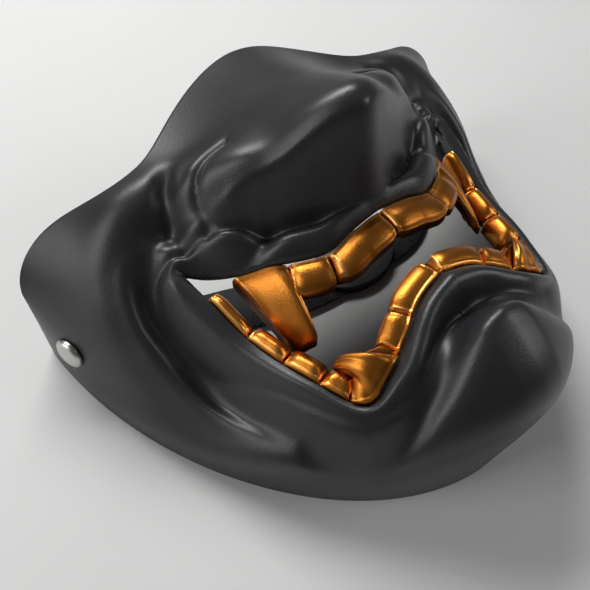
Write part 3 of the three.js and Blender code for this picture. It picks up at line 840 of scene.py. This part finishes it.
def rib_tree():
    tree = bpy.data.node_groups.new("weft ribs", "GeometryNodeTree")
    face = tree.interface
    face.new_socket("Places", in_out="INPUT", socket_type="NodeSocketGeometry")
    for title, value in (("Rib length", 0.02), ("Rib radius", 0.0004)):
        face.new_socket(title, in_out="INPUT", socket_type="NodeSocketFloat").default_value = value
    face.new_socket("Finish", in_out="INPUT", socket_type="NodeSocketMaterial")
    face.new_socket("Ribs", in_out="OUTPUT", socket_type="NodeSocketGeometry")
    make = tree.nodes.new
    start, end = make("NodeGroupInput"), make("NodeGroupOutput")
    rod = make("GeometryNodeMeshCylinder")
    rod.inputs["Vertices"].default_value = RIB_SIDES
    turn = make("GeometryNodeInputNamedAttribute")
    turn.data_type = "FLOAT_VECTOR"
    turn.inputs["Name"].default_value = "turn"
    lay = make("GeometryNodeInstanceOnPoints")
    real = make("GeometryNodeRealizeInstances")
    gloss = make("GeometryNodeSetShadeSmooth")
    finish = make("GeometryNodeSetMaterial")
    join = tree.links.new
    join(start.outputs["Rib length"], rod.inputs["Depth"])
    join(start.outputs["Rib radius"], rod.inputs["Radius"])
    join(start.outputs["Places"], lay.inputs["Points"])
    join(rod.outputs["Mesh"], lay.inputs["Instance"])
    join(turn.outputs["Attribute"], lay.inputs["Rotation"])
    join(lay.outputs["Instances"], real.inputs["Geometry"])
    join(real.outputs["Geometry"], gloss.inputs["Geometry"])
    join(gloss.outputs["Geometry"], finish.inputs["Geometry"])
    join(start.outputs["Finish"], finish.inputs["Material"])
    join(finish.outputs["Geometry"], end.inputs["Ribs"])
    return tree


def apply_tree(piece, tree, values):
    """Runs a tree on a piece and returns the result as a plain mesh object."""
    step = piece.modifiers.new(tree.name, "NODES")
    step.node_group = tree
    for item in tree.interface.items_tree:
        if item.in_out == "INPUT" and item.name in values:
            step[item.identifier] = values[item.name]
    ready = piece.evaluated_get(bpy.context.evaluated_depsgraph_get())
    mesh = bpy.data.meshes.new_from_object(ready)
    piece.modifiers.remove(step)
    result = bpy.data.objects.new(piece.name + "_laid", mesh)
    bpy.context.scene.collection.objects.link(result)
    bpy.data.objects.remove(piece)
    return result


def rib_places():
    at, along, facing, aside, length = strap_frames(round(strap_length / RIB_PITCH))
    points, turns = [], []
    for side in (1, -1):
        for k in range(1, len(at) - 1):
            points.append(at[k] + facing[k] * side * (STRAP_THICKNESS / 2 - RIB_RADIUS * RIB_SINK))
            turn = Matrix(np.column_stack([along[k], facing[k], -aside[k]]).tolist())
            turns.append(turn.to_euler()[:])
    mesh = bpy.data.meshes.new("rib_places")
    mesh.from_pydata((np.array(points) + SHIFT) * MM, [], [])
    layer = mesh.attributes.new("turn", "FLOAT_VECTOR", "POINT")
    layer.data.foreach_set("vector", np.array(turns).ravel())
    places = bpy.data.objects.new("strap_ribs", mesh)
    bpy.context.scene.collection.objects.link(places)
    return places


# %% [markdown]
# ## The slider
# A plain oval slider sits on the strap. The engineering solid already has its true shape, so a copy of
# it is cleaned and its edges are rounded with a bevel, as a moulded part's edges are.

# %% Round the slider's edges
WELD_REACH = 1e-6
FLAT_WITHIN = 1
ROUND_FROM = 40
ROUND_SHARP = 30
SLIDER_ROUND = 0.0005


def merged_copy(node, name):
    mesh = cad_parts[node].data.copy()
    shape = bmesh.new()
    shape.from_mesh(mesh)
    bmesh.ops.remove_doubles(shape, verts=shape.verts, dist=WELD_REACH)
    flat = math.radians(FLAT_WITHIN)
    bmesh.ops.dissolve_limit(shape, angle_limit=flat, verts=shape.verts, edges=shape.edges)
    shape.to_mesh(mesh)
    shape.free()
    piece = bpy.data.objects.new(name, mesh)
    bpy.context.scene.collection.objects.link(piece)
    return piece


def rounded(piece, width, segments=3):
    step = piece.modifiers.new("rounded edges", "BEVEL")
    step.width = width
    step.segments = segments
    step.limit_method = "ANGLE"
    step.angle_limit = math.radians(ROUND_FROM)
    mesh = bpy.data.meshes.new_from_object(piece.evaluated_get(bpy.context.evaluated_depsgraph_get()))
    piece.modifiers.remove(step)
    piece.data = mesh
    mesh.shade_smooth()
    mesh.set_sharp_from_angle(angle=math.radians(ROUND_SHARP))
    return piece


slider = rounded(merged_copy("strap_slider", "oval_slider"), SLIDER_ROUND)
print("slider faces:", len(slider.data.polygons))

# %% [markdown]
# ## Finishes
# Every finish starts from the same two effects: a fine grain from noise, and a mask that follows a value
# kept at the mesh's points, used for wear and for painted highlight on ridges. Both are node groups that
# put out heights and masks only, and each material places them with values of its own.

# %% Shared effects: grain, and rubbed ridges with painted highlight


def start_group(name, inputs, outputs):
    tree = bpy.data.node_groups.new(name, "ShaderNodeTree")
    new_socket = tree.interface.new_socket
    for title, value in inputs:
        new_socket(title, in_out="INPUT", socket_type="NodeSocketFloat").default_value = value
    for title in outputs:
        new_socket(title, in_out="OUTPUT", socket_type="NodeSocketFloat")
    return tree, tree.nodes.new("NodeGroupInput"), tree.nodes.new("NodeGroupOutput")


def math_node(tree, operation, *inputs):
    node = tree.nodes.new("ShaderNodeMath")
    node.operation = operation
    for k, value in enumerate(inputs):
        if isinstance(value, (int, float)):
            node.inputs[k].default_value = value
        else:
            tree.links.new(value, node.inputs[k])
    return node.outputs[0]


def noise(tree, scale, detail=3.0):
    node = tree.nodes.new("ShaderNodeTexNoise")
    node.inputs["Detail"].default_value = detail
    where = tree.nodes.new("ShaderNodeTexCoord")
    tree.links.new(where.outputs["Object"], node.inputs["Vector"])
    if isinstance(scale, (int, float)):
        node.inputs["Scale"].default_value = scale
    else:
        tree.links.new(scale, node.inputs["Scale"])
    return node.outputs["Fac"]


def grain_group():
    inputs = [("Scale", 900.0), ("Mottle scale", 40.0)]
    tree, start, end = start_group("moulded grain", inputs, ["Height", "Mottle"])
    tree.links.new(noise(tree, start.outputs["Scale"], 2.0), end.inputs["Height"])
    tree.links.new(noise(tree, start.outputs["Mottle scale"], 5.0), end.inputs["Mottle"])
    return tree


# A mask for rubbed ridges that also serves as painted highlight.
def wear_and_highlight_group():
    inputs = [("Value", 0.0), ("From", 0.1), ("To", 0.6), ("Breakup scale", 160.0)]
    tree, start, end = start_group("rubbed ridges and painted highlight", inputs, ["Mask"])
    rise = tree.nodes.new("ShaderNodeMapRange")
    rise.interpolation_type = "SMOOTHSTEP"
    tree.links.new(start.outputs["Value"], rise.inputs["Value"])
    tree.links.new(start.outputs["From"], rise.inputs["From Min"])
    tree.links.new(start.outputs["To"], rise.inputs["From Max"])
    broken = math_node(tree, "MULTIPLY_ADD", noise(tree, start.outputs["Breakup scale"], 4.0), 1.2, 0.1)
    tree.links.new(math_node(tree, "MULTIPLY", rise.outputs["Result"], broken), end.inputs["Mask"])
    return tree


GRAIN = grain_group()
WEAR_AND_HIGHLIGHT = wear_and_highlight_group()

# %% Helpers that put a material together


def start_material(name):
    finish = bpy.data.materials.new(name)
    finish.use_nodes = True
    return finish, finish.node_tree, finish.node_tree.nodes["Principled BSDF"]


def effect(tree, group, **values):
    node = tree.nodes.new("ShaderNodeGroup")
    node.node_tree = group
    for title, value in values.items():
        socket = node.inputs[title.replace("_", " ")]
        if isinstance(value, (int, float)):
            socket.default_value = value
        else:
            tree.links.new(value, socket)
    return node.outputs


def point_value(tree, name):
    node = tree.nodes.new("ShaderNodeAttribute")
    node.attribute_name = name
    return node.outputs["Fac"]


def blend_colour(tree, share, low, high):
    node = tree.nodes.new("ShaderNodeMix")
    node.data_type = "RGBA"
    tree.links.new(share, node.inputs["Factor"])
    for title, value in (("A", low), ("B", high)):
        pick = [s for s in node.inputs if s.name == title and s.type == "RGBA"][0]
        if isinstance(value, tuple):
            pick.default_value = (*value, 1)
        else:
            tree.links.new(value, pick)
    return [s for s in node.outputs if s.type == "RGBA"][0]


def scaled(tree, value, low, high):
    node = tree.nodes.new("ShaderNodeMapRange")
    tree.links.new(value, node.inputs["Value"])
    node.inputs["To Min"].default_value = low
    node.inputs["To Max"].default_value = high
    return node.outputs["Result"]


def bump(tree, shader, height, strength, distance):
    node = tree.nodes.new("ShaderNodeBump")
    node.inputs["Strength"].default_value = strength
    node.inputs["Distance"].default_value = distance
    tree.links.new(height, node.inputs["Height"])
    tree.links.new(node.outputs["Normal"], shader.inputs["Normal"])


# %% [markdown]
# ### Satin black plastic
# The shell has a fine moulded grain that breaks up its gloss into broad soft lights. Ridges that hands
# and cloth rub are a little smoother than the hollows, and their colour is painted greyer, partly as
# wear and partly as painted highlight.

# %% The black plastic
# Plain blacks, and the greyer colour of convex ridges, partly wear and partly painted highlight.
SHELL_BLACK, SHELL_WORN_HIGHLIT = (0.012, 0.012, 0.0135), (0.022, 0.022, 0.024)
SLIDER_BLACK, SLIDER_WORN_HIGHLIT = (0.016, 0.016, 0.018), (0.03, 0.03, 0.032)
MOTTLE_LIFT = 1.35
GLOSS_BELOW, GLOSS_ABOVE = 0.03, 0.05
RUBBED_SHEEN = -0.06


def black_plastic(name, dark, worn_and_highlit, gloss):
    finish, tree, shader = start_material(name)
    grain = effect(tree, GRAIN, Scale=1400.0, Mottle_scale=55.0)
    rubbed_and_highlit = effect(tree, WEAR_AND_HIGHLIGHT, Value=point_value(tree, "ridge"), From=0.12, To=0.8)["Mask"]
    base = blend_colour(tree, grain["Mottle"], dark, tuple(c * MOTTLE_LIFT for c in dark))
    # Convex ridges turn greyer: partly rubbed wear, partly painted highlight.
    tree.links.new(blend_colour(tree, rubbed_and_highlit, base, worn_and_highlit), shader.inputs["Base Color"])
    rough = scaled(tree, grain["Mottle"], gloss - GLOSS_BELOW, gloss + GLOSS_ABOVE)
    sheen = math_node(tree, "MULTIPLY_ADD", rubbed_and_highlit, RUBBED_SHEEN, rough)
    tree.links.new(sheen, shader.inputs["Roughness"])
    shader.inputs["Specular IOR Level"].default_value = 0.5
    bump(tree, shader, grain["Height"], 0.25, 0.0002)
    return finish


shell_black = black_plastic("satin black plastic", SHELL_BLACK, SHELL_WORN_HIGHLIT, 0.4)
slider_black = black_plastic("plain dark plastic", SLIDER_BLACK, SLIDER_WORN_HIGHLIT, 0.45)

# %% [markdown]
# ### Copper-gold paint
# The teeth are sprayed with a metallic copper-gold paint. Shade and highlight are painted into its
# colour: the mesh keeps a value at each point that is high in the grooves, at the roots, towards the
# tips and on the backs, and below zero on the raised outlines and beads. The material mixes bright gold
# for painted highlight, copper, and brown for painted shade by it.

# %% The gold paint
# Copper-gold base, brown for painted shade in grooves and bright gold for painted highlight on ridges.
COPPER_GOLD = (0.60, 0.215, 0.032)
PAINTED_SHADE_BROWN = (0.10, 0.02, 0.004)
PAINTED_HIGHLIGHT_GOLD = (0.95, 0.52, 0.16)


def gold_paint():
    finish, tree, shader = start_material("copper gold paint")
    grain = effect(tree, GRAIN, Scale=2200.0, Mottle_scale=90.0)
    # Painted shade: the point value, broken by mottle, mixes copper towards brown.
    depth = math_node(tree, "ADD", point_value(tree, "painted_shade_and_highlight"),
                      math_node(tree, "MULTIPLY_ADD", grain["Mottle"], 0.8, -0.4))
    painted_shade = scaled(tree, depth, 0.0, 1.0)
    # Painted highlight: raised outlines and beads, where the point value is below zero, turn bright
    # gold.
    proud = math_node(tree, "MULTIPLY", point_value(tree, "painted_shade_and_highlight"), -1.0)
    base = blend_colour(tree, painted_shade, COPPER_GOLD, PAINTED_SHADE_BROWN)
    painted_highlight = effect(tree, WEAR_AND_HIGHLIGHT, Value=proud, From=0.1, To=0.7)["Mask"]
    tree.links.new(blend_colour(tree, painted_highlight, base, PAINTED_HIGHLIGHT_GOLD), shader.inputs["Base Color"])
    shader.inputs["Metallic"].default_value = 1.0
    tree.links.new(scaled(tree, grain["Mottle"], 0.27, 0.42), shader.inputs["Roughness"])
    bump(tree, shader, grain["Height"], 0.35, 0.0002)
    return finish


teeth_gold = gold_paint()

# %% [markdown]
# ### Nickel and elastic
# The rivets are nickel plated steel with fine rubbed marks. The elastic is matt black thread whose ribs
# catch a little light, and its weave shows as fine rows across the ribs.

# %% The nickel and the elastic
NICKEL_DARK, NICKEL_LIGHT = (0.42, 0.41, 0.39), (0.66, 0.65, 0.62)
THREAD_DARK, THREAD_LIGHT = (0.006, 0.006, 0.007), (0.03, 0.03, 0.032)


def bright_nickel():
    finish, tree, shader = start_material("bright nickel")
    grain = effect(tree, GRAIN, Scale=1600.0, Mottle_scale=350.0)
    tree.links.new(blend_colour(tree, grain["Mottle"], NICKEL_DARK, NICKEL_LIGHT),
                   shader.inputs["Base Color"])
    shader.inputs["Metallic"].default_value = 1.0
    tree.links.new(scaled(tree, grain["Mottle"], 0.24, 0.42), shader.inputs["Roughness"])
    bump(tree, shader, grain["Height"], 0.3, 0.0001)
    return finish


def woven_elastic():
    finish, tree, shader = start_material("woven elastic")
    grain = effect(tree, GRAIN, Scale=2600.0, Mottle_scale=300.0)
    where = tree.nodes.new("ShaderNodeTexCoord")
    wave = tree.nodes.new("ShaderNodeTexWave")
    wave.bands_direction = "Y"
    wave.inputs["Scale"].default_value = 420.0
    tree.links.new(where.outputs["Object"], wave.inputs["Vector"])
    tree.links.new(blend_colour(tree, wave.outputs["Fac"], THREAD_DARK, THREAD_LIGHT),
                   shader.inputs["Base Color"])
    tree.links.new(scaled(tree, grain["Mottle"], 0.7, 0.9), shader.inputs["Roughness"])
    height = math_node(tree, "ADD", wave.outputs["Fac"], grain["Height"])
    bump(tree, shader, height, 0.5, 0.0003)
    return finish


rivet_nickel = bright_nickel()
strap_elastic = woven_elastic()
ribs = apply_tree(rib_places(), rib_tree(), {
    "Rib length": STRAP_WIDTH * MM,
    "Rib radius": RIB_RADIUS * MM,
    "Finish": strap_elastic,
})
ribs.name = "strap_weave"
print("weave faces:", len(ribs.data.polygons))

# %% [markdown]
# ## Put the pieces on the frame
# Each piece rides on the one body, takes its finish and stands for its engineering solids, which stay in
# the physics model.

# %% Ride, finish and replace
PIECES = [
    (shell, shell_black, "shell_black", ("face_shell",)),
    (upper_row, teeth_gold, "teeth_gold", ("upper_teeth",)),
    (lower_row, teeth_gold, "teeth_gold", ("lower_teeth",)),
    (rivets[0], rivet_nickel, "rivet_nickel", ("rivet_right",)),
    (rivets[1], rivet_nickel, "rivet_nickel", ("rivet_left",)),
    (band, strap_elastic, "strap_elastic", ("head_strap",)),
    (ribs, strap_elastic, "strap_elastic", ()),
    (slider, slider_black, "slider_black", ("strap_slider",)),
]
for piece, finish, slot, nodes in PIECES:
    piece.data.materials.clear()
    piece.data.materials.append(finish)
    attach(piece, "root")
    if nodes:
        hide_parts(*nodes)
print("pieces:", len(PIECES))

# %% [markdown]
# ## Floor, light and camera
# The guard lies on a plain pale floor under soft studio boxes. The camera stands where the photograph
# was taken from: close, above the wearer's right and below the chin.

# %% The floor and the lights
SOFTBOXES = [
    # name, place and size in metres, power in watts
    ("top box", (0.05, 0.45, 0.60), (0.55, 0.24), 5.2),
    ("left box", (-0.60, 0.20, 0.35), (0.30, 0.60), 1.9),
    ("right box", (0.50, -0.45, 0.45), (0.35, 0.35), 1.3),
]
LIGHTS_AIM = Vector((0, 0, 0.04))
SKY = (0.8, 0.82, 0.85, 1)
SKY_STRENGTH = 0.12
FLOOR_REACH = 4
FLOOR_DARK, FLOOR_LIGHT = (0.60, 0.60, 0.59), (0.68, 0.68, 0.67)


def floor():
    mesh = bpy.data.meshes.new("floor")
    corners = [(x * FLOOR_REACH, y * FLOOR_REACH, 0) for x, y in ((-1, -1), (1, -1), (1, 1), (-1, 1))]
    mesh.from_pydata(corners, [], [(0, 1, 2, 3)])
    piece = bpy.data.objects.new("floor", mesh)
    bpy.context.scene.collection.objects.link(piece)
    finish, tree, shader = start_material("pale floor")
    grain = effect(tree, GRAIN, Scale=300.0, Mottle_scale=6.0)
    tree.links.new(blend_colour(tree, grain["Mottle"], FLOOR_DARK, FLOOR_LIGHT),
                   shader.inputs["Base Color"])
    shader.inputs["Roughness"].default_value = 0.8
    mesh.materials.append(finish)


def softbox(name, place, size, power):
    light = bpy.data.lights.new(name, "AREA")
    light.shape = "RECTANGLE"
    light.size, light.size_y = size
    light.energy = power
    lamp = bpy.data.objects.new(name, light)
    lamp.location = place
    lamp.rotation_euler = (LIGHTS_AIM - Vector(place)).to_track_quat("-Z", "Y").to_euler()
    bpy.context.scene.collection.objects.link(lamp)


floor()
for box in SOFTBOXES:
    softbox(*box)
world = bpy.data.worlds.new("studio")
world.use_nodes = True
sky = world.node_tree.nodes["Background"]
sky.inputs["Color"].default_value = SKY
sky.inputs["Strength"].default_value = SKY_STRENGTH
bpy.context.scene.world = world
bpy.context.scene.view_settings.view_transform = "Standard"
print("lights:", ", ".join(name for name, *_ in SOFTBOXES))

# %% The camera
CAMERA_AT = np.array([-100.0, -90.0, 200.0])
LOOK = Vector((0.376, 0.448, -0.811))
RIGHT = Vector((0.766, -0.643, 0.0))
UP = Vector((0.521, 0.621, 0.585))
ROLL = 0.026
FOCAL_SHARE = 670.3 / 590
SENSOR = 36.0


def camera():
    lens = bpy.data.cameras.new("camera")
    lens.sensor_width = SENSOR
    lens.lens = SENSOR * FOCAL_SHARE
    lens.clip_start = 0.01
    eye = bpy.data.objects.new("camera", lens)
    right = (RIGHT + UP * ROLL).normalized()
    back_way = -LOOK.normalized()
    up = back_way.cross(right).normalized()
    turn = Matrix((right, up, back_way)).transposed()
    place = Matrix.Translation(Vector((CAMERA_AT + SHIFT) * MM))
    eye.matrix_world = place @ turn.to_4x4()
    bpy.context.scene.collection.objects.link(eye)
    bpy.context.scene.camera = eye


camera()
print("lens, mm:", round(SENSOR * FOCAL_SHARE, 1))
